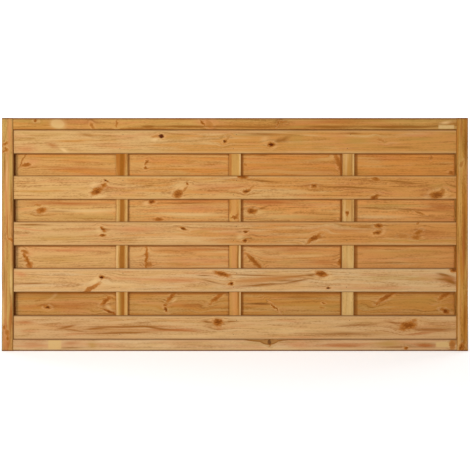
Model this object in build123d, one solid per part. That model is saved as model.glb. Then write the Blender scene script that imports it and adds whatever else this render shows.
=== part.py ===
from build123d import *
import os

# Framed privacy fence panel of planed pine. Thin boards lie edge to edge, one on the front and the
# next on the back of three upright battens, so that no one sees through and wind still passes.
# X runs along the panel, the front faces -Y and Z is up. The origin is under the middle of the base.

# Frame: two grooved stiles with two rails butted between them
PANEL_WIDTH = 1800.0
PANEL_HEIGHT = 900.0
FRAME_FACE = 45.0
FRAME_DEPTH = 45.0
FRAME_EASE = 3.0

# Boards, with the small height errors of the front ones as they were nailed on, from the top down
BOARD_WIDTH = 92.0
BACK_BOARD_WIDTH = 98.0
BOARD_THICKNESS = 9.0
BOARD_ROUND = 3.0
BOARD_ERRORS = (0.0, 2.4, 4.0, 3.0, 0.0)

# Grooves in the stiles that hold the board ends
GROOVE_DEPTH = 10.0
GROOVE_PLAY = 0.25
BOARD_END_GAP = 1.5

# Battens, with how far the top of each one leans to the right of its foot
BATTEN_WIDTH = 45.0
BATTEN_THICKNESS = 15.0
BATTEN_EASE = 1.5
BATTEN_NAMES = ("left", "middle", "right")
BATTEN_LEANS = (0.0, 0.0, 4.5)

# Square brads shot in below the surface: two at each crossing of a board and a batten, staggered
# across the batten, and a longer one through the rail into each batten end
NAIL_SIDE = 2.4
NAIL_SET = 1.0
NAIL_LENGTH = 19.0
NAIL_SPACING = 54.0
NAIL_STAGGER = 12.0
BATTEN_NAIL_LENGTH = 70.0

# Countersunk screws, one through a stile into each rail end
SCREW_DIAMETER = 5.0
SCREW_LENGTH = 80.0
SCREW_POINT = 6.0
SCREW_HEAD_DIAMETER = 9.6

# Waney edge of the bottom rail: a long shallow scoop and a short deep one round a knot
WANE_SLOPE = 62.0
WANE_LENGTH = 120.0
WANE_LONG_X = 120.0
WANE_LONG_RADIUS = 900.0
WANE_LONG_DEPTH = 6.0
WANE_KNOT_X = 131.0
WANE_KNOT_RADIUS = 112.0
WANE_KNOT_DEPTH = 11.0

inner_width = PANEL_WIDTH - 2 * FRAME_FACE
inner_height = PANEL_HEIGHT - 2 * FRAME_FACE
rail_centres = {"top": PANEL_HEIGHT - FRAME_FACE / 2, "bottom": FRAME_FACE / 2}
stile_sides = {"left": -1, "right": 1}
layer_sides = {"front": -1, "back": 1}
layer_offset = (BATTEN_THICKNESS + BOARD_THICKNESS) / 2
outer_face = BATTEN_THICKNESS / 2 + BOARD_THICKNESS
board_length = inner_width + 2 * (GROOVE_DEPTH - BOARD_END_GAP)

# Front boards fill the frame from rail to rail, and each wider back board is centred behind an opening
board_widths = {-1: BOARD_WIDTH, 1: BACK_BOARD_WIDTH}
front_pitch = (inner_height - BOARD_WIDTH) / (len(BOARD_ERRORS) - 1)
top_board = PANEL_HEIGHT - FRAME_FACE - BOARD_WIDTH / 2
front_heights = [top_board - row * front_pitch + error for row, error in enumerate(BOARD_ERRORS)]
back_heights = [(upper + lower) / 2 for upper, lower in zip(front_heights, front_heights[1:])]
board_heights = {"front": front_heights, "back": back_heights}

# Battens stand at equal clear distances between the stiles
batten_count = len(BATTEN_NAMES)
batten_pitch = (inner_width - batten_count * BATTEN_WIDTH) / (batten_count + 1) + BATTEN_WIDTH


def batten_x(index, height):
    """Centre line of a leaning batten at a height."""
    upright = (index - (batten_count - 1) / 2) * batten_pitch
    return upright + BATTEN_LEANS[index] * (height - PANEL_HEIGHT / 2) / inner_height


def crossing_places(side, height, index):
    """Two places on a board's outer face, one above the other, where it crosses a batten."""
    places = []
    for end in (1, -1):
        row = height + end * NAIL_SPACING / 2
        across = batten_x(index, row) + end * NAIL_STAGGER / 2
        places.append(Plane((across, side * outer_face, row), z_dir=(0, side, 0)))
    return places


def batten_place(index, rail):
    """The place on a rail's outer face opposite the end of a batten."""
    face, joint = (PANEL_HEIGHT, PANEL_HEIGHT - FRAME_FACE) if rail == "top" else (0, FRAME_FACE)
    return Plane((batten_x(index, joint), 0, face), z_dir=(0, 0, 1 if rail == "top" else -1))


def corner_place(side, rail):
    """The place on a stile's outer face opposite the end of a rail."""
    return Plane((side * PANEL_WIDTH / 2, 0, rail_centres[rail]), z_dir=(side, 0, 0))


def nail(length):
    """A square brad pointing down -Z, its end below the face at Z = 0."""
    shank = Box(NAIL_SIDE, NAIL_SIDE, length, align=(Align.CENTER, Align.CENTER, Align.MAX))
    return Pos(0, 0, -NAIL_SET) * shank


def nail_hole(length):
    """The hole that a brad leaves, open to the face at Z = 0."""
    return Box(NAIL_SIDE, NAIL_SIDE, NAIL_SET + length, align=(Align.CENTER, Align.CENTER, Align.MAX))


def screw():
    """A countersunk screw pointing down -Z, its head flush with the face at Z = 0."""
    shank = SCREW_DIAMETER / 2
    head = SCREW_HEAD_DIAMETER / 2
    neck = shank - head
    point = SCREW_POINT - SCREW_LENGTH
    outline = Polyline((0, 0), (head, 0), (shank, neck), (shank, point), (0, -SCREW_LENGTH), close=True)
    return revolve(Plane.XZ * make_face(outline), Axis.Z)


def make_stile(side):
    """A square post with one groove for each layer of boards, stopped at the rails."""
    section = RectangleRounded(FRAME_FACE, FRAME_DEPTH, FRAME_EASE)
    stile = Pos(side * (PANEL_WIDTH - FRAME_FACE) / 2, 0, 0) * extrude(section, PANEL_HEIGHT)
    groove = Box(2 * GROOVE_DEPTH, BOARD_THICKNESS + 2 * GROOVE_PLAY, inner_height)
    for layer in layer_sides.values():
        stile -= Pos(side * inner_width / 2, layer * layer_offset, PANEL_HEIGHT / 2) * groove
    return stile - [corner_place(side, rail) * screw() for rail in rail_centres]


def make_rail(rail):
    """A square rail between the stiles, with the holes of its screws and batten nails."""
    section = RectangleRounded(FRAME_DEPTH, FRAME_FACE, FRAME_EASE)
    centre = Plane((0, 0, rail_centres[rail]), x_dir=(0, 1, 0), z_dir=(1, 0, 0))
    beam = extrude(centre * section, inner_width / 2, both=True)
    screw_holes = [corner_place(side, rail) * screw() for side in stile_sides.values()]
    nail_holes = [batten_place(index, rail) * nail_hole(BATTEN_NAIL_LENGTH) for index in range(batten_count)]
    return beam - screw_holes - nail_holes


def wane_scoop(along, radius, depth):
    """A round scoop across the front upper edge of the bottom rail, sloping like a chamfer."""
    edge = Pos(along, -FRAME_DEPTH / 2, FRAME_FACE) * Rot(WANE_SLOPE, 0, 0)
    return edge * Pos(0, 0, radius - depth) * Rot(90, 0, 0) * Cylinder(radius, WANE_LENGTH)


def make_board(side, height):
    """A thin board with rounded edges that reaches into the grooves of both stiles."""
    section = RectangleRounded(BOARD_THICKNESS, board_widths[side], BOARD_ROUND)
    centre = Plane((0, side * layer_offset, height), x_dir=(0, 1, 0), z_dir=(1, 0, 0))
    board = extrude(centre * section, board_length / 2, both=True)
    places = [place for index in range(batten_count) for place in crossing_places(side, height, index)]
    return board - [place * nail_hole(NAIL_LENGTH) for place in places]


def make_batten(index):
    """A flat upright between the rails, sheared where it leans, with its nail holes."""
    foot = Plane.XY.offset(FRAME_FACE) * Pos(batten_x(index, FRAME_FACE), 0)
    section = foot * RectangleRounded(BATTEN_WIDTH, BATTEN_THICKNESS, BATTEN_EASE)
    rise = Vector(BATTEN_LEANS[index], 0, inner_height)
    batten = extrude(section, rise.length, dir=rise)
    holes = [batten_place(index, rail) * nail_hole(BATTEN_NAIL_LENGTH) for rail in rail_centres]
    for layer, side in layer_sides.items():
        for height in board_heights[layer]:
            holes += [place * nail_hole(NAIL_LENGTH) for place in crossing_places(side, height, index)]
    return batten - holes


parts = {}
for name, side in stile_sides.items():
    parts[f"{name}_stile"] = make_stile(side)
for name in rail_centres:
    parts[f"{name}_rail"] = make_rail(name)
for scoop in (
    wane_scoop(WANE_LONG_X, WANE_LONG_RADIUS, WANE_LONG_DEPTH),
    wane_scoop(WANE_KNOT_X, WANE_KNOT_RADIUS, WANE_KNOT_DEPTH),
):
    parts["bottom_rail"] -= scoop

for index, name in enumerate(BATTEN_NAMES):
    parts[f"batten_{name}"] = make_batten(index)
for layer, side in layer_sides.items():
    for row, height in enumerate(board_heights[layer], start=1):
        parts[f"{layer}_board_{row}"] = make_board(side, height)

for layer, side in layer_sides.items():
    crossings = [(side, height, index) for height in board_heights[layer] for index in range(batten_count)]
    places = [place for crossing in crossings for place in crossing_places(*crossing)]
    parts[f"{layer}_nails"] = Compound([place * nail(NAIL_LENGTH) for place in places])
ends = [(index, rail) for index in range(batten_count) for rail in rail_centres]
parts["batten_nails"] = Compound([batten_place(*end) * nail(BATTEN_NAIL_LENGTH) for end in ends])
corners = [(side, rail) for side in stile_sides.values() for rail in rail_centres]
parts["corner_screws"] = Compound([corner_place(*corner) * screw() for corner in corners])

os.makedirs("parts", exist_ok=True)
for name, part in parts.items():
    export_step(part, f"parts/{name}.step")
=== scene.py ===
import math

import bpy
import numpy as np
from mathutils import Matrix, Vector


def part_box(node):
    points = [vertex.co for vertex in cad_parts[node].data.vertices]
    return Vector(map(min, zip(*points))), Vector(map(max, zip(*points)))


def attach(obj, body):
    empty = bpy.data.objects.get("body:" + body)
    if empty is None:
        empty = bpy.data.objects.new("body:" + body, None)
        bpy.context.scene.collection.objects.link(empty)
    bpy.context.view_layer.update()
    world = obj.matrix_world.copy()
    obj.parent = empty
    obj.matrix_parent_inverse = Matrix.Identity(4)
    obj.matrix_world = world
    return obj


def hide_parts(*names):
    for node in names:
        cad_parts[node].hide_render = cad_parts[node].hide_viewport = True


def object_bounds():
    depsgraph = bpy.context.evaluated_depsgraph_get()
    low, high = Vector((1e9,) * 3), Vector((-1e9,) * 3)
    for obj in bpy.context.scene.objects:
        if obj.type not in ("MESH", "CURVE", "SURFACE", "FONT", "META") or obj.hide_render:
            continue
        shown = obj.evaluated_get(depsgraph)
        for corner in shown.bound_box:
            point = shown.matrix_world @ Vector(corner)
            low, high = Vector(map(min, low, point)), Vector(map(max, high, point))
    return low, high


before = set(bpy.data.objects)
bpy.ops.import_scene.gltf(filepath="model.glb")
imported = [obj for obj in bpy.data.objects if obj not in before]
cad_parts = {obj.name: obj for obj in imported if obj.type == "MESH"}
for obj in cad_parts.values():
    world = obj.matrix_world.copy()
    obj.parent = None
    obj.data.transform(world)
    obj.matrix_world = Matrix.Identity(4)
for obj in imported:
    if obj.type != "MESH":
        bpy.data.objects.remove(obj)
cad_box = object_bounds()

# Stiles: the two square posts at the ends of the frame, of planed and pressure-treated pine.
# Each stands the full height, and its two milled grooves hold the ends of the boards.
MM = 0.001
PALE = (228, 188, 128)
OLIVE = (186, 142, 68)
ROSE = (206, 132, 80)
RUST = (176, 100, 44)
UMBER = (148, 90, 28)
BARK = (176, 126, 68)
STRAP_MARK = (218, 180, 118)
# Colour of the painted shade in strips on the back boards beside the battens and front boards
PAINTED_SHADE_COLOUR = (146, 84, 22)
# Edge grime colour, partly painted shade on the eased edges and on the side faces in the recesses
EDGE_DIRT_AND_SHADE = (104, 56, 16)

# Knots: colours, the distances in knot radii where each part begins and ends, and the pushed grain
KNOT_RIM = (186, 116, 46)
KNOT_CORE = (138, 72, 12)
KNOT_HOLE = (74, 20, 2)
KNOT_FLARE = (224, 178, 116)
KNOT_GROWTH = 1.15
KNOT_EDGE = (1.45, 0.7)
KNOT_HEART = (1.2, 0.15)
KNOT_HALO = (2.4, 1.3)
KNOT_HOLE_EDGE = (1.4, 0.8)
KNOT_PUSH = 0.85
PUSH_REACH = 2.2
THROUGH_MM = 400.0

# Noise: how far it frays a knot, shifts a patch and bends the grain, in millimetres
FRAY_MM = (24.0, 13.0, 0.0)
DRIFT_MM = (30.0, 6.0, 0.0)
SWEEP_MM = 22.0
RIPPLE_MM = 3.0
MID_NOISE = (0.5, 0.5, 0.5)

# Surface: how strongly each figure of the grain darkens the wood, and the depth of the raised grain
BAND_SHADE = 0.75
FIBRE_SHADE = 0.5
TONE_SHADE = 0.9
FLECK_SHADE = 0.9
PORE_SHADE = 0.5
RING_SHADE = 0.26
SWIRL_SHADE = 0.55
END_RING_SHADE = 0.6
EVEN_SHADE = 0.13
GRAIN_RELIEF = 0.0004


class Shade:
    """One socket of a material, on which Python's arithmetic adds the Math nodes that work it out."""

    def __init__(self, tree, socket=None):
        self.tree = tree
        self.socket = socket

    def node(self, kind, settings, inputs, output=0):
        """Adds any node: its settings first, then the values or links of its sockets. Gives one output."""
        made = self.tree.nodes.new(kind)
        for name, value in settings.items():
            setattr(made, name, value)
        for name, value in inputs.items():
            if isinstance(value, Shade):
                self.tree.links.new(value.socket, made.inputs[name])
            else:
                made.inputs[name].default_value = value
        return Shade(self.tree, made.outputs[output] if made.outputs else None)

    def math(self, operation, *values):
        return self.node("ShaderNodeMath", {"operation": operation}, dict(enumerate(values)))

    def vector(self, operation, *values):
        return self.node("ShaderNodeVectorMath", {"operation": operation}, dict(enumerate(values)))

    def mix(self, first, second):
        """A colour that goes from the first to the second as this value goes from 0 to 1."""
        return self.node("ShaderNodeMix", {"data_type": "RGBA"}, {0: self, 6: first, 7: second}, 2)

    def ease(self, low, high):
        """A smooth step: 0 at low and 1 at high, where high may be the smaller number."""
        limits = {"Value": self, "From Min": low, "From Max": high}
        return self.node("ShaderNodeMapRange", {"interpolation_type": "SMOOTHSTEP"}, limits)

    def within(self, low, high, soft):
        """1 between low and high and 0 outside, with soft borders."""
        return self.ease(low - soft, low + soft) * self.ease(high + soft, high - soft)

    def __abs__(self):
        return self.math("ABSOLUTE", self)

    def __add__(self, other):
        return self.math("ADD", self, other)

    def __sub__(self, other):
        return self.math("SUBTRACT", self, other)

    def __rsub__(self, other):
        return self.math("SUBTRACT", other, self)

    def __mul__(self, other):
        return self.math("MULTIPLY", self, other)

    def __truediv__(self, other):
        return self.math("DIVIDE", self, other)

    __radd__ = __add__
    __rmul__ = __mul__


def blank(owner):
    """Clears the nodes of a material or a world, and gives the tree for new ones."""
    owner.use_nodes = True
    owner.node_tree.nodes.clear()
    return Shade(owner.node_tree)


def paint(red, green, blue):
    """A colour seen on the object, 0 to 255, as the linear colour that a shader takes."""
    seen = np.array((red, green, blue)) / 255
    linear = np.where(seen <= 0.04045, seen / 12.92, ((seen + 0.055) / 1.055) ** 2.4)
    return (*linear.tolist(), 1.0)


def pine(
    node, pale, warm, dark, pith, ring, seed, lean=0.0, fade_and_falloff=0.0, figure=1.0, upright=False, bark=False,
    knots=(), holes=(), patches=(), marks=(), painted_shades=(), edge_light=0.0,
    low_dirt_and_shade=(0.5, 4.0), high_dirt_and_shade=(0.5, 4.0), end_dirt_and_shade=(0.0, 5.0), face_dirt_and_shade=0.25,
):
    """Planed pine, worked out in millimetres from the middle of one piece, with the grain along the piece.

    A ring's number is the distance from the pith line divided by the ring's width, and each knot pushes
    the grain aside by a bell curve round it. Noise that is stretched along the bent grain makes bands,
    fibres and pores. The figure says how strongly they show, and the fade carries the colour from pale
    to warm along the piece, partly as the wood's own drift and partly as painted shade towards the right.

    Knots and patches are (along, across, half length, half width, turn in degrees, strength), and a patch
    has a colour as well. Holes, the dead black hearts of knots, are (along, across, half length, half
    width, strength). Marks, pale prints of straps on the front, are (left, right, bottom, top, softness).
    Dark strips of painted shade on the front are (direction, first, last, softness, strength). Dirt along
    an edge or an end, partly real grime and partly painted shade on the eased edges, is (strength, width),
    and face_dirt_and_shade is the share of it in the middle of the depth, painted shade on the side faces
    in the recesses.
    """
    low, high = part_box(node)
    half_x, half_depth, half_z = (high - low) / 2 / MM
    half_length, half_face = (half_z, half_x) if upright else (half_x, half_z)
    material = bpy.data.materials.new(node + "_pine")
    base = blank(material)
    place = base.node("ShaderNodeTexCoord", {}, {}, "Object")
    offset = place.vector("SUBTRACT", place, (low + high) / 2)
    x, y, z = (base.node("ShaderNodeSeparateXYZ", {}, {0: offset}, axis) / MM for axis in "XYZ")
    along, across = (z, x) if upright else (x, z)
    grain = base.node("ShaderNodeCombineXYZ", {}, {0: along, 1: across, 2: y})

    def noise(surface, length, width, detail, start, output=0):
        """Soft noise on a surface, with patches of this length and width."""
        scaled = base.vector("MULTIPLY_ADD", surface, (1 / length, 1 / width, 1 / width), start)
        inputs = {"Vector": scaled, "Scale": 1.0, "Detail": detail, "Roughness": 0.55}
        return base.node("ShaderNodeTexNoise", {}, inputs, output)

    def cloud(length, width, detail, shift, output=0):
        """Noise from 0 to 1 that lies straight on the piece."""
        return noise(grain, length, width, detail, (seed, shift, -seed), output)

    def spot(surface, along_at, across_at, half_long, half_wide, turn):
        """The distance from a spot's centre, 1 at its edge. A spot goes right through the piece."""
        inputs = {
            "Vector": surface, "Location": (along_at, across_at, 0), "Rotation": (0, 0, math.radians(turn)),
            "Scale": (half_long, half_wide, THROUGH_MM),
        }
        mapped = base.node("ShaderNodeMapping", {"vector_type": "TEXTURE"}, inputs)
        return base.node("ShaderNodeVectorMath", {"operation": "LENGTH"}, {0: mapped}, "Value")

    # Knots, each with its own part of the pushed grain
    frayed = base.vector("SUBTRACT", cloud(15, 9, 3, 7.7, "Color"), MID_NOISE)
    frayed = base.vector("MULTIPLY_ADD", frayed, FRAY_MM, grain)
    fleck = cloud(9, 3.4, 2, 8.1) - 0.5
    bent = across
    knot = core = flare = swirl = 0.0
    for along_at, across_at, half_long, half_wide, turn, strength in knots:
        reach = spot(frayed, along_at, across_at, half_long * KNOT_GROWTH, half_wide * KNOT_GROWTH, turn)
        push = base.math("EXPONENT", reach * reach * (-1 / PUSH_REACH ** 2))
        bent = bent - (across - across_at) * push * KNOT_PUSH
        swirl = base.math("MAXIMUM", swirl, push * strength)
        knot = base.math("MAXIMUM", knot, reach.ease(*KNOT_EDGE) * min(1.0, strength * 1.7))
        core = base.math("MAXIMUM", core, (reach + fleck * 2.6).ease(*KNOT_HEART) * strength)
        flare = base.math("MAXIMUM", flare, reach.ease(*KNOT_HALO) * strength)

    # Rings round the pith, and noise that follows the bent grain
    wander = (cloud(600, 110, 2, 1.3) - 0.5) * SWEEP_MM + (cloud(90, 30, 2, 3.1) - 0.5) * RIPPLE_MM
    side = bent + wander - pith[0]
    depth = y - pith[1]
    radius = base.math("SQRT", side * side + depth * depth) + along * lean
    ring_place = base.math("FRACT", radius / ring)
    late = ring_place.ease(0.35, 0.9) * ring_place.ease(1.0, 0.92)
    flow = base.node("ShaderNodeCombineXYZ", {}, {0: along, 1: bent + wander * 0.3, 2: y})

    def streaks(length, width, detail, shift):
        """Noise about 0 that follows the bent grain."""
        return noise(flow, length, width, detail, (seed, shift, seed)) - 0.5

    hue = streaks(260, 16, 3, 4.4)
    blush = streaks(170, 18, 2, 12.3).ease(0.03, 0.2) * 0.4
    tan = streaks(140, 16, 2, 15.7).ease(0.03, 0.2) * 0.35
    band = streaks(300, 6, 3, 5.9)
    fibre = streaks(50, 1.3, 3, 2.2)
    tone = streaks(90, 16, 3, 9.4)
    pores = streaks(16, 0.4, 2, 21.3)
    end_face = abs(along).ease(half_length - 0.6, half_length - 0.2)

    # Clean wood, with a fade along the piece that is partly painted shade towards the right
    colour = (hue * 4.0 + along * (fade_and_falloff / half_length) + 0.5).ease(0.0, 1.0).mix(pale, warm)
    colour = tan.mix(blush.mix(colour, paint(*ROSE)), paint(*OLIVE))
    shade = band * BAND_SHADE + fibre * FIBRE_SHADE + tone * TONE_SHADE + fleck * FLECK_SHADE
    shade = (shade + pores * PORE_SHADE) * figure
    shade = shade + late * (swirl * SWIRL_SHADE + RING_SHADE) + EVEN_SHADE
    shade = shade + end_face * late * END_RING_SHADE
    colour = shade.ease(0.0, 1.0).mix(colour, dark)
    if edge_light:
        light = abs(across).ease(half_face - 14, half_face - 4) * (band * 1.6 + 0.9) * edge_light
        colour = light.mix(colour, pale)

    # Patches, strap marks, knots and strips of painted shade
    drifting = base.vector("SUBTRACT", cloud(110, 40, 1, 6.1, "Color"), MID_NOISE)
    drifting = base.vector("MULTIPLY_ADD", drifting, DRIFT_MM, grain)
    for *shape, strength, patch_colour in patches:
        reach = spot(drifting, *shape)
        bell = base.math("EXPONENT", reach * reach * -1.2) * strength
        colour = base.math("MINIMUM", bell, 0.85).mix(colour, paint(*patch_colour))
    front = y.ease(5.0 - half_depth, 2.0 - half_depth)
    for left, right, bottom, top, soft in marks:
        inside = along.within(left, right, soft) * across.within(bottom, top, soft) * front
        colour = (inside * (fleck + 0.9)).mix(colour, paint(*STRAP_MARK))
    if knots:
        patchy = cloud(24, 9, 2, 4.9).ease(0.35, 0.6)
        colour = (flare * patchy * 0.5).mix(colour, paint(*KNOT_FLARE))
        colour = (flare * fleck.ease(0.03, 0.2) * 0.55).mix(colour, paint(*RUST))
        colour = knot.mix(colour, core.mix(paint(*KNOT_RIM), paint(*KNOT_CORE)))
    # Strips of painted shade, where the battens and front boards would shade the back boards
    for direction, first, last, soft, strength in painted_shades:
        strip = (along if direction == "along" else across).within(first, last, soft)
        colour = (strip * front * strength).mix(colour, paint(*PAINTED_SHADE_COLOUR))

    # Dirt and painted shade along edges and ends, bark on the waney edge and the black hearts of dead knots
    dirt_and_shade = across.ease(half_face - high_dirt_and_shade[1], half_face - 0.5) * high_dirt_and_shade[0]
    dirt_and_shade = dirt_and_shade + across.ease(low_dirt_and_shade[1] - half_face, 0.5 - half_face) * low_dirt_and_shade[0]
    end = abs(along).ease(half_length - end_dirt_and_shade[1], half_length - 0.5) * end_dirt_and_shade[0]
    end = end * (1 - end_face * 0.6)
    arris = abs(y).ease(half_depth - 9.0, half_depth - 2.0) * (1 - face_dirt_and_shade) + face_dirt_and_shade
    colour = (base.math("MAXIMUM", dirt_and_shade, end) * arris).mix(colour, paint(*EDGE_DIRT_AND_SHADE))
    if bark:
        below = base.math("MINIMUM", y + half_face, half_face - across)
        waney = below.ease(0.4, 2.0) * across.ease(-8.0, -2.0) * y.ease(6.0, 0.0)
        rim_line = below.ease(5.0, 1.5)
        colour = waney.mix(colour, (fleck * 1.2 + rim_line * 0.8).mix(paint(*BARK), paint(*UMBER)))
    for along_at, across_at, half_long, half_wide, strength in holes:
        reach = spot(grain, along_at, across_at, half_long, half_wide, 0) + fleck * 1.6
        colour = (reach.ease(*KNOT_HOLE_EDGE) * strength).mix(colour, paint(*KNOT_HOLE))

    relief = {"Strength": 0.35, "Distance": GRAIN_RELIEF, "Height": late * 0.6 + fibre * 0.8 + pores * 0.5}
    inputs = {
        "Base Color": colour,
        "Roughness": 0.62 + late * 0.1 + fibre * 0.2,
        "Normal": base.node("ShaderNodeBump", {}, relief, "Normal"),
        "Specular IOR Level": 0.05,
    }
    surface = base.node("ShaderNodeBsdfPrincipled", {}, inputs)
    base.node("ShaderNodeOutputMaterial", {}, {"Surface": surface})
    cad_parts[node].material_slots[0].material = material


pine(
    "left_stile", paint(205, 166, 92), paint(200, 142, 80), paint(152, 102, 44), (-8, 52), 4.2, seed=1.0,
    lean=0.01, figure=1.25, upright=True,
    # On the left stile the edge grime reaches through the depth of the side faces, most of it painted shade
    # in the recess beside the boards.
    low_dirt_and_shade=(0.4, 5.0), high_dirt_and_shade=(0.65, 8.0), end_dirt_and_shade=(0.9, 8.0), face_dirt_and_shade=1.5,
    knots=(
        (350, -7, 9, 5, 60, 0.7), (330, -4, 8, 5, -40, 0.7), (320, -11, 10, 4, 70, 0.6),
        (-20, 14, 12, 4, -60, 0.6), (-360, -13, 7, 4, 0, 0.6), (-380, -1, 10, 6, 0, 0.5),
        (-400, 1, 8, 4, 0, 0.6),
    ),
    patches=(
        (120, -6, 150, 4, 0, 0.7, ROSE), (200, 4, 160, 4, 0, 0.6, ROSE), (60, -16, 120, 4, 0, 0.8, OLIVE),
        (-230, -4, 150, 4, 0, 0.7, RUST), (-350, 12, 90, 4, 0, 0.75, UMBER),
        (300, 10, 90, 5, 0, 0.7, OLIVE), (-120, 6, 120, 4, 0, 0.7, OLIVE), (-60, -14, 90, 4, 0, 0.6, ROSE),
        (-380, -8, 70, 8, 0, 0.7, ROSE), (-340, 8, 60, 5, 0, 0.7, RUST), (-420, 4, 30, 8, 0, 0.7, RUST),
        (380, 8, 60, 5, 0, 0.7, ROSE), (270, -12, 60, 4, 0, 0.8, UMBER), (160, 14, 80, 4, 0, 0.7, UMBER),
        (20, 0, 70, 3, 0, 0.8, RUST), (-160, -12, 70, 4, 0, 0.7, UMBER), (-280, 14, 60, 4, 0, 0.7, RUST),
        (-300, -16, 70, 3, 0, 0.7, PALE), (-190, 14, 50, 3, 0, 0.7, PALE), (230, -2, 60, 3, 0, 0.6, PALE),
    ),
)
pine(
    "right_stile", paint(204, 152, 76), paint(192, 126, 48), paint(144, 90, 22), (10, 48), 4.0, seed=2.0,
    lean=-0.01, figure=1.3, upright=True,
    low_dirt_and_shade=(0.25, 6.0), high_dirt_and_shade=(0.6, 6.0), end_dirt_and_shade=(0.9, 8.0),
    knots=((-435, -3, 14, 9, 20, 0.9), (270, -4, 12, 5, 30, 0.4)),
    patches=(
        (270, -8, 24, 9, 0, 0.8, OLIVE), (370, -4, 70, 8, 0, 0.6, OLIVE), (-10, 8, 130, 6, 0, 1.2, UMBER),
        (340, 12, 110, 4, 0, 1, UMBER), (-60, 4, 90, 5, 0, 0.8, RUST), (-200, -14, 160, 4, 0, 0.4, PALE),
        (200, -12, 120, 3, 0, 0.4, PALE), (-330, 8, 90, 5, 0, 0.85, UMBER),
        (-380, -15, 60, 3, 0, 0.5, PALE), (400, -4, 40, 6, 0, 0.7, RUST),
    ),
)

# Rails: the two square timbers between the stiles, of the same pine and screwed through the stiles.
# The bottom one was sawn near the bark, so its upper front edge has a scoop with a knot in it.
pine(
    "top_rail", paint(206, 156, 84), paint(198, 134, 64), paint(150, 96, 36), (4, 55), 4.4, seed=3.0,
    lean=0.006, low_dirt_and_shade=(0.45, 5.0), high_dirt_and_shade=(0.75, 12.0),
    marks=((785, 845, -20, -6, 3.0),),
    knots=(
        (-770, 11, 8, 5, 0, 0.9), (-550, -7, 13, 5, -60, 0.5), (-455, -1, 13, 4, 80, 0.5),
        (-125, 3, 12, 4, -45, 0.8), (-100, -1, 15, 10, -50, 0.35), (165, 1, 10, 3, 65, 0.8),
        (185, 7, 10, 4, 0, 0.5),
    ),
    patches=(
        (-810, 11, 35, 6, 0, 0.8, OLIVE), (-680, -1, 22, 15, 0, 3.0, STRAP_MARK),
        (-745, 7, 30, 15, 0, 0.55, OLIVE), (-600, 7, 85, 12, 0, 0.55, ROSE),
        (-330, -12, 23, 5, 0, 1.5, UMBER), (-175, -11, 155, 4, 0, 1.2, UMBER),
        (75, -13, 130, 4, 0, 1, UMBER), (350, -13, 115, 5, 0, 1, UMBER),
        (635, -13, 160, 5, 0, 1.4, UMBER), (815, 3, 23, 6, 10, 0.8, PALE),
        (600, 11, 195, 6, 0, 0.6, OLIVE), (365, 7, 115, 8, 0, 0.6, RUST),
        (-115, 7, 40, 12, 0, 0.55, ROSE), (240, -13, 45, 4, 0, 0.7, OLIVE),
    ),
)
pine(
    "bottom_rail", paint(218, 182, 133), paint(211, 163, 114), paint(168, 120, 68), (-2, 58), 4.6, seed=4.0,
    lean=-0.004, low_dirt_and_shade=(1.0, 9.0), high_dirt_and_shade=(0.5, 5.0), bark=True,
    marks=((-720, -670, -14, 20, 3.0), (775, 830, -7, 13, 4.0)),
    holes=((133, 11, 6, 8, 0.65),),
    knots=((660, -10, 6, 5, 0, 0.9), (135, 13, 4, 12, 0, 1), (840, 1, 10, 17, 0, 0.5)),
    patches=(
        (-550, 1, 20, 15, 0, 0.7, OLIVE), (-630, 9, 35, 8, 0, 0.6, RUST),
        (-630, -10, 55, 4, 0, 0.85, UMBER), (-785, 5, 55, 14, 0, 0.45, RUST),
        (-330, 1, 155, 8, 0, 0.45, PALE), (410, -1, 85, 8, 0, 0.7, RUST),
        (590, 5, 55, 12, 0, 0.75, OLIVE), (735, -1, 42, 9, 0, 1, RUST),
        (250, 1, 55, 12, 0, 0.55, ROSE), (-75, 9, 155, 6, 0, 0.45, PALE),
        (635, -7, 75, 4, 0, 0.7, UMBER), (-100, -15, 620, 4, 0, 0.6, PALE),
    ),
)

# Battens: three flat uprights of the same pine between the rails, with a layer of boards on each side.
# The left one has a stripe of brown heartwood, and the right one leans a little.
pine(
    "batten_left", paint(214, 164, 92), paint(200, 140, 68), paint(150, 94, 28), (6, 40), 3.8, seed=5.0,
    upright=True, low_dirt_and_shade=(0.0, 4.0), high_dirt_and_shade=(0.0, 4.0),
    patches=(
        (320, -5, 100, 14, 0, 3.0, (174, 102, 28)), (-40, 1, 380, 8, 0, 3.0, (154, 90, 20)),
        (-160, -18, 260, 4, 0, 0.8, PALE), (-280, -8, 90, 5, 0, 0.7, OLIVE),
        (-120, 18, 300, 3, 0, 0.5, PALE),
    ),
)
pine(
    "batten_middle", paint(214, 164, 86), paint(206, 142, 70), paint(166, 108, 40), (-6, 44), 3.6, seed=6.0,
    upright=True, low_dirt_and_shade=(0.15, 4.0), high_dirt_and_shade=(0.0, 4.0),
    knots=((66, -2, 5, 14, 0, 0.7), (74, 8, 8, 6, 40, 0.5)),
    # The pale strips near the right edge are partly pale wood and partly a painted highlight on the rounded
    # rim.
    patches=(
        (280, 2, 120, 14, 0, 0.6, (198, 146, 78)), (-160, -4, 200, 14, 0, 0.7, (210, 145, 88)),
        (-150, 13, 180, 4, 0, 1.4, UMBER), (-150, 20, 200, 4, 0, 1.3, PALE),
        (280, 19, 110, 3, 0, 0.8, PALE), (270, -17, 110, 4, 0, 0.5, RUST),
    ),
)
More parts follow.
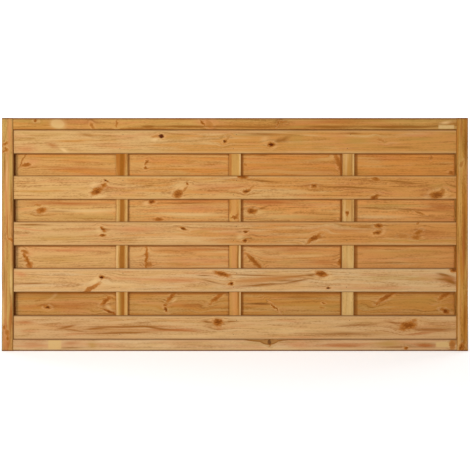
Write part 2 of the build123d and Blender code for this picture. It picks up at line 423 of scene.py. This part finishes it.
pine(
    "batten_right", paint(224, 184, 118), paint(215, 167, 98), paint(174, 120, 54), (3, 38), 4.0, seed=7.0,
    upright=True, low_dirt_and_shade=(0.4, 5.0), high_dirt_and_shade=(0.0, 4.0),
    knots=((82, -4, 8, 6, 0, 0.9),),
    patches=(
        (270, 6, 90, 5, 0, 0.8, OLIVE), (190, 0, 150, 22, 0, 0.95, (192, 130, 52)),
        (-180, 0, 260, 16, 0, 0.5, (212, 172, 108)), (80, -14, 60, 6, 0, 0.55, PALE),
        (275, -8, 80, 4, 0, 0.45, PALE), (270, 14, 90, 4, 0, 0.5, UMBER), (90, 16, 60, 4, 0, 0.6, UMBER),
    ),
)

# Front boards: five thin planed boards with rounded edges, nailed to the front of the battens.
# They come from the outside of the log, so flat bands of grain sweep round many knots.
EDGE_SHEEN = 0.6
front_boards = (
    dict(
        pale=paint(212, 168, 108), warm=paint(206, 144, 73), dark=paint(168, 114, 52), fade_and_falloff=0.8,
        pith=(14, 46), ring=4.6, lean=0.012, seed=11.0,
        holes=((-285, 21, 9, 7, 0.9), (-40, 1, 5, 4, 0.65), (140, -12, 7, 4, 0.8)),
        knots=(
            (-285, 21, 9, 7, 0, 1), (-305, 20, 15, 4, 0, 0.35), (-40, 1, 7, 6, 0, 0.9),
            (-30, 13, 12, 4, 45, 0.3), (140, -12, 12, 8, 0, 1), (565, 5, 12, 4, -30, 0.35),
        ),
        patches=(
            (-705, -14, 27, 10, -18, 0.6, RUST), (-660, -33, 17, 7, -35, 0.95, PALE),
            (-570, 26, 30, 7, -15, 0.5, UMBER), (-810, -30, 45, 15, 0, 0.6, ROSE),
            (-310, 9, 15, 6, 20, 0.95, PALE), (120, 9, 20, 12, 30, 0.35, PALE),
            (185, 8, 45, 8, 22, 0.75, UMBER), (160, 1, 18, 5, 40, 0.7, UMBER),
            (115, 28, 75, 8, 0, 0.7, UMBER), (455, 32, 30, 4, 0, 0.75, UMBER),
            (705, 23, 65, 5, 0, 0.7, ROSE), (470, 1, 50, 15, 0, 0.7, OLIVE),
            (715, 9, 60, 6, 0, 0.7, OLIVE), (240, 9, 30, 20, 0, 0.55, OLIVE),
            (-40, 36, 115, 6, 0, 0.45, ROSE), (640, -22, 55, 4, 0, 0.6, UMBER),
        ),
    ),
    dict(
        pale=paint(212, 166, 104), warm=paint(209, 146, 76), dark=paint(160, 98, 42), fade_and_falloff=0.75,
        pith=(-10, 40), ring=4.2, lean=-0.01, seed=12.0, figure=1.4,
        holes=(
            (-535, -18, 12, 5, 0.2), (-220, -30, 9, 6, 0.1), (45, -15, 8, 4, 0.45), (30, 43, 10, 4, 0.1),
            (305, 6, 5, 3, 0.5), (540, -39, 9, 4, 0.2), (785, -33, 14, 6, 0.2), (-500, 27, 4, 3, 0.7),
        ),
        knots=(
            (-535, -14, 21, 11, 30, 0.95), (-505, 8, 10, 6, 60, 0.7), (-500, 27, 8, 3, -35, 0.85),
            (-220, -25, 16, 13, 40, 0.9), (-195, -8, 13, 5, 45, 0.45), (-185, 15, 5, 4, 0, 0.8),
            (30, 41, 18, 7, 0, 0.85), (45, -14, 13, 7, 15, 0.9), (65, 2, 10, 4, 45, 0.35),
            (305, 6, 10, 6, 0, 0.8), (540, -37, 16, 7, 25, 0.8), (545, 33, 14, 5, -10, 0.65),
            (780, -29, 23, 12, 10, 0.85), (800, -16, 12, 8, 50, 0.5),
        ),
        patches=(
            (-545, 8, 23, 12, 20, 0.8, PALE), (-530, -37, 35, 4, 8, 0.8, PALE),
            (-215, 6, 27, 17, 0, 0.45, PALE), (-485, 2, 55, 6, -6, 0.45, ROSE),
            (-335, 6, 23, 4, 0, 0.75, UMBER), (-760, -16, 95, 3, 0, 0.6, OLIVE),
            (105, 25, 70, 4, -4, 0.85, UMBER), (-40, 33, 75, 5, 8, 0.45, PALE),
            (-40, 6, 130, 10, 0, 0.45, ROSE), (455, 0, 140, 4, -2, 0.95, UMBER),
            (640, 21, 85, 4, -5, 0.75, UMBER), (785, 2, 30, 14, 0, 0.45, OLIVE),
            (735, -29, 27, 9, 0, 0.6, RUST), (285, 10, 35, 12, 0, 0.4, RUST),
            (570, -21, 115, 6, -4, 0.45, ROSE), (-620, 25, 115, 4, 0, 0.4, ROSE),
        ),
    ),
    dict(
        pale=paint(211, 166, 108), warm=paint(206, 142, 74), dark=paint(160, 102, 46), fade_and_falloff=0.9,
        pith=(4, 50), ring=4.4, lean=0.008, seed=13.0,
        holes=(
            (40, 6, 5, 3, 0.6), (40, -27, 5, 3, 0.55), (-510, -6, 4, 2, 0.55), (-510, 17, 6, 3, 0.35),
            (-200, 19, 8, 3, 0.45), (305, -19, 10, 3, 0.2), (555, 30, 7, 3, 0.3), (550, 3, 7, 3, 0.3),
        ),
        knots=(
            (-510, 17, 13, 5, -45, 0.9), (-510, -7, 10, 4, 0, 0.8), (-200, 19, 15, 5, -20, 0.85),
            (40, 6, 8, 5, 0, 0.95), (40, -27, 11, 5, 35, 0.85), (305, -19, 29, 7, 33, 0.8),
            (555, 30, 14, 7, 0, 0.8), (550, 4, 15, 7, 10, 0.75), (705, 39, 7, 3, 30, 0.5),
            (710, 4, 14, 7, 30, 0.6), (700, -16, 15, 7, 0, 0.55), (650, -10, 15, 6, 0, 0.35),
        ),
        patches=(
            (-795, 17, 85, 3, -6, 0.7, ROSE), (-785, 33, 65, 4, 0, 0.85, UMBER),
            (20, 5, 15, 3, 0, 0.75, UMBER), (-530, 13, 12, 15, 0, 0.55, PALE),
            (20, -14, 15, 12, 0, 0.55, PALE), (-380, 17, 95, 12, 0, 0.6, ROSE),
            (-75, 17, 100, 4, 0, 0.55, ROSE), (505, 25, 45, 4, 0, 0.7, UMBER),
            (685, -27, 180, 3, 0, 0.75, OLIVE), (425, 13, 115, 8, 0, 0.45, RUST),
            (-675, -18, 155, 12, 0, 0.45, OLIVE), (-815, -6, 25, 4, 0, 0.55, ROSE),
            (-215, -21, 115, 12, 0, 0.45, PALE), (755, 2, 85, 15, 0, 0.4, RUST),
        ),
    ),
    dict(
        pale=paint(216, 179, 128), warm=paint(214, 167, 109), dark=paint(174, 122, 68), fade_and_falloff=-0.3,
        pith=(-16, 42), ring=5.0, lean=0.02, seed=14.0, figure=1.25,
        holes=(
            (-515, 11, 7, 4, 0.9), (-15, -14, 6, 3, 0.8), (360, -31, 5, 3, 0.8), (-50, 24, 12, 4, 0.2),
            (325, 26, 10, 4, 0.15), (845, 38, 9, 5, 0.35),
        ),
        knots=(
            (-515, 12, 11, 6, 0, 1), (-555, -30, 30, 7, 30, 0.55), (-50, 24, 28, 8, -15, 0.9),
            (-15, -13, 9, 5, 15, 1), (335, 24, 20, 10, -10, 0.95), (360, -30, 7, 4, 0, 0.85),
            (845, 39, 12, 8, 0, 0.75),
        ),
        patches=(
            (-540, -3, 25, 10, 40, 0.95, PALE), (-435, -15, 95, 12, 0, 0.6, PALE),
            (-350, 4, 155, 5, -2, 0.55, ROSE), (-785, -13, 75, 4, 0, 0.85, UMBER),
            (-830, 24, 25, 8, -15, 0.7, ROSE), (-120, 18, 25, 3, 0, 0.85, UMBER),
            (-215, 0, 95, 12, 0, 0.55, ROSE), (80, 19, 100, 3, -1, 0.95, UMBER),
            (220, 15, 75, 3.5, 5, 1, UMBER), (105, -18, 100, 4, 4, 1, UMBER),
            (240, -3, 55, 4, 10, 1, UMBER), (120, 3, 150, 12, 5, 1.1, (190, 126, 64)),
            (195, -1, 40, 4, 0, 0.75, UMBER), (290, 20, 20, 4, 0, 1.1, UMBER),
            (355, 8, 20, 10, 20, 0.8, PALE), (825, 4, 35, 17, -10, 1.0, RUST),
            (835, -6, 25, 7, -20, 1.1, UMBER), (810, 21, 27, 5, -15, 1.1, UMBER),
            (800, 3, 26, 4, -5, 0.9, UMBER), (525, -30, 230, 6, 0, 0.55, ROSE),
            (640, 8, 175, 12, 0, 0.45, OLIVE), (-90, -5, 40, 4, -12, 0.75, UMBER),
        ),
    ),
    dict(
        pale=paint(215, 175, 122), warm=paint(213, 167, 110), dark=paint(166, 114, 58), fade_and_falloff=0.0,
        pith=(10, 36), ring=4.8, lean=-0.016, seed=15.0, figure=1.15,
        holes=((-65, 22, 9, 6, 0.15),),
        knots=(
            (-65, 21, 17, 12, 0, 1), (670, 8, 27, 13, 5, 0.9), (650, -4, 12, 8, 0, 0.55),
            (690, 25, 12, 6, 30, 0.45),
        ),
        patches=(
            (-100, 21, 23, 4, -8, 1.3, UMBER), (-15, 23, 27, 3, 0, 1, UMBER),
            (-60, -2, 15, 10, 0, 0.8, RUST), (-65, -23, 20, 5, 0, 0.55, PALE),
            (-230, -11, 100, 5, 0, 0.9, RUST), (-540, -5, 42, 4, 6, 1.1, UMBER),
            (-430, 2, 130, 3.5, 0, 1.3, UMBER), (-440, -21, 115, 3.5, 1, 1.2, UMBER),
            (-300, -4, 60, 3.5, -7, 1.2, UMBER), (-445, -10, 130, 8, 0, 0.5, (186, 126, 64)),
            (-645, 2, 40, 4, 12, 1, UMBER), (-630, -10, 45, 4, -8, 0.75, UMBER),
            (-810, 20, 35, 7, 0, 0.7, RUST), (-795, -15, 45, 4, 0, 0.55, ROSE),
            (615, 17, 33, 4, -8, 1.2, UMBER), (760, -8, 100, 7, 0, 1.1, UMBER),
            (715, -23, 60, 5, 6, 0.7, RUST), (425, -25, 125, 7, 0, 0.75, UMBER),
            (465, 8, 85, 4, 4, 0.7, UMBER), (215, -11, 155, 10, 0, 0.55, PALE),
            (250, -37, 155, 3, 0, 0.55, ROSE), (-155, -33, 155, 6, 0, 0.55, PALE),
            (-620, 0, 300, 60, 0, 0.2, RUST), (680, 0, 250, 60, 0, 0.2, ROSE),
        ),
    ),
)
for row, board in enumerate(front_boards, start=1):
    # The dark lines along their long edges are partly grime and partly painted shade.
    pine(f"front_board_{row}", edge_light=EDGE_SHEEN, low_dirt_and_shade=(0.5, 5.0), high_dirt_and_shade=(0.7, 6.5), **board)

# Back boards: four more of the same boards, nailed to the back of the battens behind the openings.
# They lie in the shade of the front ones, are a little redder and carry painted shade in strips beside what
# covers them.
back_boards = (
    dict(
        pale=paint(211, 159, 91), warm=paint(211, 142, 68), dark=paint(164, 98, 36), fade_and_falloff=0.5,
        pith=(8, 44), ring=4.4, lean=0.01, seed=21.0,
        knots=(
            (-815, 1, 17, 6, 10, 0.75), (-830, 16, 30, 3, 65, 0.5), (-345, 10, 10, 5, 50, 0.7),
            (-350, -11, 6, 5, 0, 0.7), (405, 6, 37, 8, -70, 0.55), (765, 29, 8, 3, 75, 0.5),
            (845, -29, 10, 6, 0, 0.55), (40, 2, 6, 4, 0, 0.45),
        ),
        patches=(
            (-790, 14, 30, 15, 10, 0.55, ROSE), (-645, 29, 155, 6, 0, 0.55, OLIVE),
            (-605, -14, 175, 8, -2, 0.55, RUST), (110, 39, 20, 4, 0, 0.7, UMBER),
            (645, 22, 175, 4, 0, 0.4, RUST), (370, -21, 60, 5, 0, 0.45, RUST),
            (760, -6, 70, 4, 0, 0.45, OLIVE), (220, 0, 200, 50, 0, 0.15, RUST),
        ),
    ),
    dict(
        pale=paint(211, 164, 98), warm=paint(218, 152, 82), dark=paint(164, 104, 46), fade_and_falloff=0.5,
        pith=(-6, 40), ring=4.2, lean=-0.012, seed=22.0, figure=1.35,
        holes=((-325, 34, 7, 4, 0.35), (65, -1, 9, 5, 0.2), (420, -32, 6, 2, 0.5)),
        knots=(
            (-755, 1, 16, 9, 10, 0.75), (-765, 22, 8, 3, 0, 0.4), (-325, 34, 12, 7, 0, 0.85),
            (-300, -34, 14, 6, 0, 0.65), (65, -1, 17, 10, 0, 0.85), (420, -32, 11, 3, 0, 0.65),
            (720, -9, 16, 3, -20, 0.5),
        ),
        patches=(
            (-660, 28, 180, 9, 0, 0.8, RUST), (-345, 28, 14, 8, 0, 0.7, PALE),
            (-600, -1, 190, 7, 0, 0.7, PALE), (-150, 37, 130, 6, 0, 0.6, RUST),
            (-180, -14, 130, 7, 0, 0.7, PALE), (200, -24, 120, 9, 0, 0.7, PALE),
            (150, 32, 110, 10, 0, 0.7, RUST), (700, 4, 120, 4, -3, 0.7, UMBER),
            (560, -24, 120, 8, 0, 0.6, PALE), (620, 22, 110, 6, 0, 0.7, OLIVE),
            (760, -26, 90, 6, 0, 0.4, UMBER), (-190, 29, 115, 3, 0, 1, UMBER),
            (-155, 10, 115, 15, 0, 0.6, ROSE), (105, 10, 30, 4, 18, 0.75, UMBER),
            (-685, -3, 60, 4, 0, 0.6, UMBER), (100, 34, 115, 6, 0, 0.55, RUST),
            (330, 22, 70, 8, 0, 0.45, ROSE), (800, 14, 60, 17, -5, 0.75, RUST),
            (545, 10, 55, 4, -4, 0.7, UMBER), (255, -25, 175, 10, 0, 0.55, OLIVE),
            (-565, -25, 195, 10, 0, 0.55, OLIVE),
        ),
    ),
    dict(
        pale=paint(214, 166, 104), warm=paint(209, 146, 80), dark=paint(162, 102, 48), fade_and_falloff=0.7,
        pith=(12, 48), ring=4.6, lean=0.014, seed=23.0,
        knots=(
            (-810, -15, 33, 7, -65, 0.75), (-800, -31, 12, 9, 0, 0.5), (-820, 20, 14, 6, -20, 0.55),
            (-345, -5, 40, 5, 90, 0.6), (-340, -29, 13, 9, 0, 0.5), (75, -19, 37, 7, -45, 0.8),
            (85, -29, 15, 9, -30, 0.45), (410, -21, 13, 8, 60, 0.65),
        ),
        patches=(
            (-810, 10, 20, 8, 0, 0.55, ROSE), (-840, 22, 20, 8, 0, 0.6, PALE),
            (-645, 26, 155, 8, 0, 0.55, ROSE), (-155, 28, 125, 8, 0, 0.6, RUST),
            (215, 26, 100, 8, 0, 0.55, RUST), (330, -21, 75, 8, 0, 0.55, RUST),
            (-685, -9, 140, 12, 0, 0.45, OLIVE), (-175, -13, 140, 8, 0, 0.45, ROSE),
            (645, 18, 155, 8, 0, 0.45, OLIVE), (605, -25, 115, 4, 0, 0.6, UMBER),
        ),
    ),
    dict(
        pale=paint(200, 151, 86), warm=paint(195, 134, 62), dark=paint(150, 96, 36), fade_and_falloff=0.4,
        pith=(-12, 42), ring=4.4, lean=-0.008, seed=24.0,
        holes=(
            (-730, -16, 7, 3, 0.65), (-270, -24, 6, 4, 0.4), (820, -31, 9, 5, 0.25),
            (-485, -34, 12, 3, 0.25),
        ),
        knots=(
            (-730, -16, 12, 6, -10, 0.95), (-505, 8, 22, 7, 40, 0.75), (-490, -33, 27, 4, -20, 0.9),
            (-250, 23, 21, 7, 50, 0.7), (-275, -7, 6, 3, 0, 0.65), (-270, -25, 10, 5, -50, 0.9),
            (-70, 21, 27, 6, 35, 0.65), (-95, -4, 5, 3, 0, 0.55), (155, -16, 19, 3, -45, 0.9),
            (345, 0, 7, 3, 0, 0.75), (340, -17, 8, 3, 0, 0.45), (590, 23, 32, 7, 30, 0.75),
            (555, -4, 5, 4, 0, 0.65), (815, 29, 26, 7, 35, 0.65), (820, -31, 16, 7, -25, 0.95),
        ),
        patches=(
            (-710, 29, 20, 6, 45, 0.75, PALE), (-495, -16, 15, 8, -35, 0.7, PALE),
            (-240, 12, 12, 5, 50, 0.55, PALE), (100, -3, 55, 3, 0, 1, (118, 64, 18)),
            (-640, -8, 130, 17, 0, 0.6, RUST), (-175, -8, 75, 12, 0, 0.45, RUST),
            (370, -12, 115, 12, 0, 0.45, OLIVE), (705, 12, 115, 20, 0, 0.45, OLIVE),
            (255, 23, 75, 8, 0, 0.6, UMBER), (-685, 23, 140, 6, 0, 0.45, OLIVE),
            (-700, 30, 150, 12, 0, 0.5, UMBER),
        ),
    ),
)

# Painted shade on the back boards: (strength, width in mm) beside each batten, on its
# left and on its right, and the width below each front board
BATTEN_SHADES = {
    "batten_left": ((0.0, 5.0), (0.7, 3.0)),
    "batten_middle": ((0.35, 5.0), (0.7, 11.0)),
    "batten_right": ((0.8, 5.0), (0.7, 15.0)),
}
OPENING_SHADES = (3.0, 2.0, 7.0, 11.0)
SHADE_STRENGTH = 0.7
LEDGE_SHADE = (0.5, 2.0)
BEHIND_BATTEN = 4.0
BEHIND_BOARD = 20.0

batten_painted_shade = []
for batten, ((left_strength, left_width), (right_strength, right_width)) in BATTEN_SHADES.items():
    left, right = (limit[0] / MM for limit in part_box(batten))
    batten_painted_shade.append(("along", left - left_width, left + BEHIND_BATTEN, 2, left_strength))
    batten_painted_shade.append(("along", right - BEHIND_BATTEN, right + right_width, 4, right_strength))
for row, (board, shade_width) in enumerate(zip(back_boards, OPENING_SHADES), start=1):
    low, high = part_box(f"back_board_{row}")
    middle = (low[2] + high[2]) / 2
    top_edge = (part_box(f"front_board_{row}")[0][2] - middle) / MM
    bottom_edge = (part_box(f"front_board_{row + 1}")[1][2] - middle) / MM
    board_painted_shade = [
        ("across", top_edge - shade_width, top_edge + BEHIND_BOARD, 3, SHADE_STRENGTH),
        ("across", bottom_edge - BEHIND_BOARD, bottom_edge + LEDGE_SHADE[1], 3, LEDGE_SHADE[0]),
    ]
    pine(f"back_board_{row}", edge_light=EDGE_SHEEN / 2, painted_shades=batten_painted_shade + board_painted_shade, **board)

# Nails: square brads of bare wire, shot through the boards and rails and set below the face.
# They have darkened in the damp wood, and each one shows as a small brown dot.
WIRE = (84, 52, 30)
WIRE_RUST = (84, 48, 26)
SPECKLE_SCALE = 900.0


def plated(name, colour, rust, roughness):
    """Dull metal whose colour goes towards rust where a fine noise is high."""
    material = bpy.data.materials.new(name)
    base = blank(material)
    place = base.node("ShaderNodeTexCoord", {}, {}, "Object")
    speckle = base.node("ShaderNodeTexNoise", {}, {"Vector": place, "Scale": SPECKLE_SCALE, "Detail": 3.0})
    inputs = {
        "Base Color": speckle.ease(0.45, 0.7).mix(paint(*colour), paint(*rust)),
        "Roughness": roughness + speckle * 0.2,
        "Metallic": 0.8,
    }
    surface = base.node("ShaderNodeBsdfPrincipled", {}, inputs)
    base.node("ShaderNodeOutputMaterial", {}, {"Surface": surface})
    return material


wire = plated("brown_wire", WIRE, WIRE_RUST, 0.5)
for node in ("front_nails", "back_nails", "batten_nails"):
    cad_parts[node].material_slots[0].material = wire

# Corner screws: one countersunk wood screw through a stile into each rail end, its head flush with the
# stile. They are of hardened steel with a dull yellow zinc coat, and have a cross recess, a plain neck
# and a rolled thread.
ZINC = (176, 152, 96)
ZINC_DULL = (128, 104, 60)
HEAD_RADIUS = 4.8
SHANK_RADIUS = 2.5
CORE_RADIUS = 1.75
PLAIN_DEPTH = 32.0
THREAD_DEPTH = 74.0
SCREW_LENGTH = 80.0
THREAD_PITCH = 2.4
THREAD_SLOPE = 0.3
RECESS_ARM = 2.5
RECESS_HALF_WIDTH = 0.75
RECESS_DEPTH = 1.9
RECESS_SIDE_SLOPE = 0.3
RECESS_END_SLOPE = 0.8
SCREW_COLUMNS = 40
CAP_ROWS = 16
THREAD_ROWS = 140


def screw_surface():
    """A wood screw that points along -X, as rings from the middle of its head over the rim to its point.

    The head sinks by the recess depth where the smaller of the two cross distances is within an arm's half
    width and the larger within its length. Along the thread the radius rises from the core to the shank as
    a triangle wave of the depth divided by the pitch plus the turn.
    """
    turn = np.linspace(0, 2 * math.pi, SCREW_COLUMNS, endpoint=False)[None, :]
    cap_radius = np.linspace(0, HEAD_RADIUS, CAP_ROWS)[1:, None] + 0 * turn
    sides = np.stack((np.abs(np.cos(turn)), np.abs(np.sin(turn)))) * cap_radius
    arm = np.clip((RECESS_HALF_WIDTH - sides.min(axis=0)) / RECESS_SIDE_SLOPE + 1, 0, 1)
    reach = np.clip((RECESS_ARM - sides.max(axis=0)) / RECESS_END_SLOPE + 0.5, 0, 1)
    shank_depth = np.array((HEAD_RADIUS - SHANK_RADIUS, PLAIN_DEPTH))[:, None] + 0 * turn
    thread_depth = np.linspace(PLAIN_DEPTH + 1, THREAD_DEPTH, THREAD_ROWS)[:, None] + 0 * turn
    wave = (thread_depth / THREAD_PITCH + turn / (2 * math.pi)) % 1
    ridge = np.clip(1 - np.abs(wave - 0.5) / THREAD_SLOPE, 0, 1)
    thread_radius = CORE_RADIUS + (SHANK_RADIUS - CORE_RADIUS) * ridge
    radius = np.concatenate((cap_radius, np.full(shank_depth.shape, SHANK_RADIUS), thread_radius))
    depth = np.concatenate((arm * reach * RECESS_DEPTH, shank_depth, thread_depth))
    rings = np.stack((-depth, radius * np.cos(turn), radius * np.sin(turn)), axis=-1)
    tips = np.array(((-RECESS_DEPTH, 0, 0), (-SCREW_LENGTH, 0, 0)))
    points = np.concatenate((rings.reshape(-1, 3), tips)) * MM
    column = np.arange(SCREW_COLUMNS)
    after = np.roll(column, -1)
    start = np.arange(len(radius) - 1)[:, None] * SCREW_COLUMNS
    below = start + SCREW_COLUMNS
    walls = np.stack((start + column, below + column, below + after, start + after), axis=-1)
    last = (len(radius) - 1) * SCREW_COLUMNS
    head_tip = np.full(SCREW_COLUMNS, len(points) - 2)
    head = np.stack((head_tip, column, after), axis=-1)
    point = np.stack((head_tip + 1, last + after, last + column), axis=-1)
    return points, walls.reshape(-1, 4), np.concatenate((head, point))


low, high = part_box("corner_screws")
heights = (low[2] + HEAD_RADIUS * MM, high[2] - HEAD_RADIUS * MM)
heads = np.array([(x, 0.0, z) for x in (low[0], high[0]) for z in heights])
half_turns = np.array([(side, side, 1) for side in (-1, 1) for z in heights])
points, walls, caps = screw_surface()
first = (np.arange(len(heads)) * len(points))[:, None, None]
points = (points * half_turns[:, None] + heads[:, None]).reshape(-1, 3)
faces = (walls + first).reshape(-1, 4).tolist() + (caps + first).reshape(-1, 3).tolist()
screw_mesh = bpy.data.meshes.new("wood_screws")
screw_mesh.from_pydata(points.tolist(), [], faces)
screw_mesh.materials.append(plated("yellow_zinc", ZINC, ZINC_DULL, 0.35))
screws = bpy.data.objects.new("wood_screws", screw_mesh)
bpy.context.scene.collection.objects.link(screws)
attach(screws, "root")
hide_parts("corner_screws")

# Studio: a sweep of white paper that is floor and backdrop in one, soft lamps and a camera square to the
# panel. The key lamp stands at the front left, a wide fill at the front right and two lamps behind.
FLOOR_HALF_WIDTH = 9.0
FLOOR_FRONT = -7.0
FLOOR_BACK = 3.0
SWEEP_RADIUS = 1.5
WALL_TOP = 6.0
SWEEP_STEPS = 24
PAPER = (0.85, 0.85, 0.85, 1)
WHITE = (1, 1, 1, 1)
NEAR_GLOW = (0.55, 0.55, 0.55, 1)
FAR_GLOW = (0.75, 0.75, 0.75, 1)
AMBIENT = 0.32
LAMPS = (
    ("key_lamp", (-1.6, -2.4, 0.85), 0.6, 30.0),
    ("fill_lamp", (0.9, -3.4, 0.6), 1.4, 37.5),
    ("back_left_lamp", (-2.9, 2.3, 0.9), 1.4, 42.0),
    ("back_right_lamp", (2.9, 2.3, 0.9), 1.4, 42.0),
)
LAMP_AIM = (0, 0, 0.45)
CAMERA_DISTANCE = 2.7
VIEW_WIDTH = 1.8125
VIEW_CENTRE_X = 0.0002
VIEW_CENTRE_Z = 0.448
SENSOR_MM = 36.0


def sweep_surface():
    """The floor's line, a quarter circle and the wall's line, carried across from left to right."""
    turn = np.linspace(0, math.pi / 2, SWEEP_STEPS)
    wall_y = FLOOR_BACK + SWEEP_RADIUS
    y = np.concatenate(([FLOOR_FRONT], FLOOR_BACK + SWEEP_RADIUS * np.sin(turn), [wall_y]))
    z = np.concatenate(([0.0], SWEEP_RADIUS * (1 - np.cos(turn)), [WALL_TOP]))
    side = np.array((-FLOOR_HALF_WIDTH, FLOOR_HALF_WIDTH))
    points = np.stack(np.broadcast_arrays(side[None, :], y[:, None], z[:, None]), axis=-1)
    first = np.arange(len(y) - 1) * 2
    faces = np.stack((first, first + 1, first + 3, first + 2), axis=-1)
    return points.reshape(-1, 3), faces


def seen_directly(base):
    """1 for rays that show a surface as it is: straight from the camera, by a mirror or through glass."""
    kinds = ("Is Camera Ray", "Is Glossy Ray", "Is Transmission Ray")
    camera, mirror, glass = (base.node("ShaderNodeLightPath", {}, {}, kind) for kind in kinds)
    return base.math("MAXIMUM", base.math("MAXIMUM", camera, mirror), glass)


points, faces = sweep_surface()
sweep_mesh = bpy.data.meshes.new("sweep")
sweep_mesh.from_pydata(points.tolist(), [], faces.tolist())
sweep = bpy.data.objects.new("sweep", sweep_mesh)
bpy.context.scene.collection.objects.link(sweep)

# The paper glows for the camera alone: white on the wall, and less near the panel to keep its shadow
paper = bpy.data.materials.new("white_paper")
sweep_mesh.materials.append(paper)
base = blank(paper)
place = base.node("ShaderNodeTexCoord", {}, {}, "Object")
wall = base.node("ShaderNodeSeparateXYZ", {}, {0: place}, "Z").ease(0.0, 0.4)
around = place.vector("MULTIPLY", place, (0.6, 1.0, 0.0))
far = base.node("ShaderNodeVectorMath", {"operation": "LENGTH"}, {0: around}, "Value").ease(1.2, 3.0)
glow = wall.mix(far.mix(NEAR_GLOW, FAR_GLOW), WHITE)
matt = base.node("ShaderNodeBsdfDiffuse", {}, {"Color": PAPER})
shine = base.node("ShaderNodeEmission", {}, {"Color": glow, "Strength": 1.0})
bright = base.node("ShaderNodeAddShader", {}, {0: matt, 1: shine})
surface = base.node("ShaderNodeMixShader", {}, {0: seen_directly(base), 1: matt, 2: bright})
base.node("ShaderNodeOutputMaterial", {}, {"Surface": surface})

world = bpy.data.worlds.new("studio")
bpy.context.scene.world = world
base = blank(world)
soft = base.node("ShaderNodeBackground", {}, {"Color": WHITE, "Strength": AMBIENT})
white = base.node("ShaderNodeBackground", {}, {"Color": WHITE, "Strength": 1.0})
sky = base.node("ShaderNodeMixShader", {}, {0: seen_directly(base), 1: soft, 2: white})
base.node("ShaderNodeOutputWorld", {}, {"Surface": sky})

for name, place, size, power in LAMPS:
    light = bpy.data.lights.new(name, "AREA")
    light.size = size
    light.energy = power
    lamp = bpy.data.objects.new(name, light)
    lamp.location = place
    aim = np.array(LAMP_AIM) - np.array(place)
    lamp.rotation_euler = (math.atan2(math.hypot(aim[0], aim[1]), -aim[2]), 0, math.atan2(-aim[0], aim[1]))
    bpy.context.scene.collection.objects.link(lamp)

view = bpy.data.cameras.new("camera")
view.sensor_width = SENSOR_MM
view.lens = SENSOR_MM * CAMERA_DISTANCE / VIEW_WIDTH
camera = bpy.data.objects.new("camera", view)
camera.location = (VIEW_CENTRE_X, cad_box[0][1] - CAMERA_DISTANCE, VIEW_CENTRE_Z)
camera.rotation_euler = (math.pi / 2, 0, 0)
bpy.context.scene.collection.objects.link(camera)
bpy.context.scene.camera = camera
bpy.context.scene.view_settings.view_transform = "Standard"
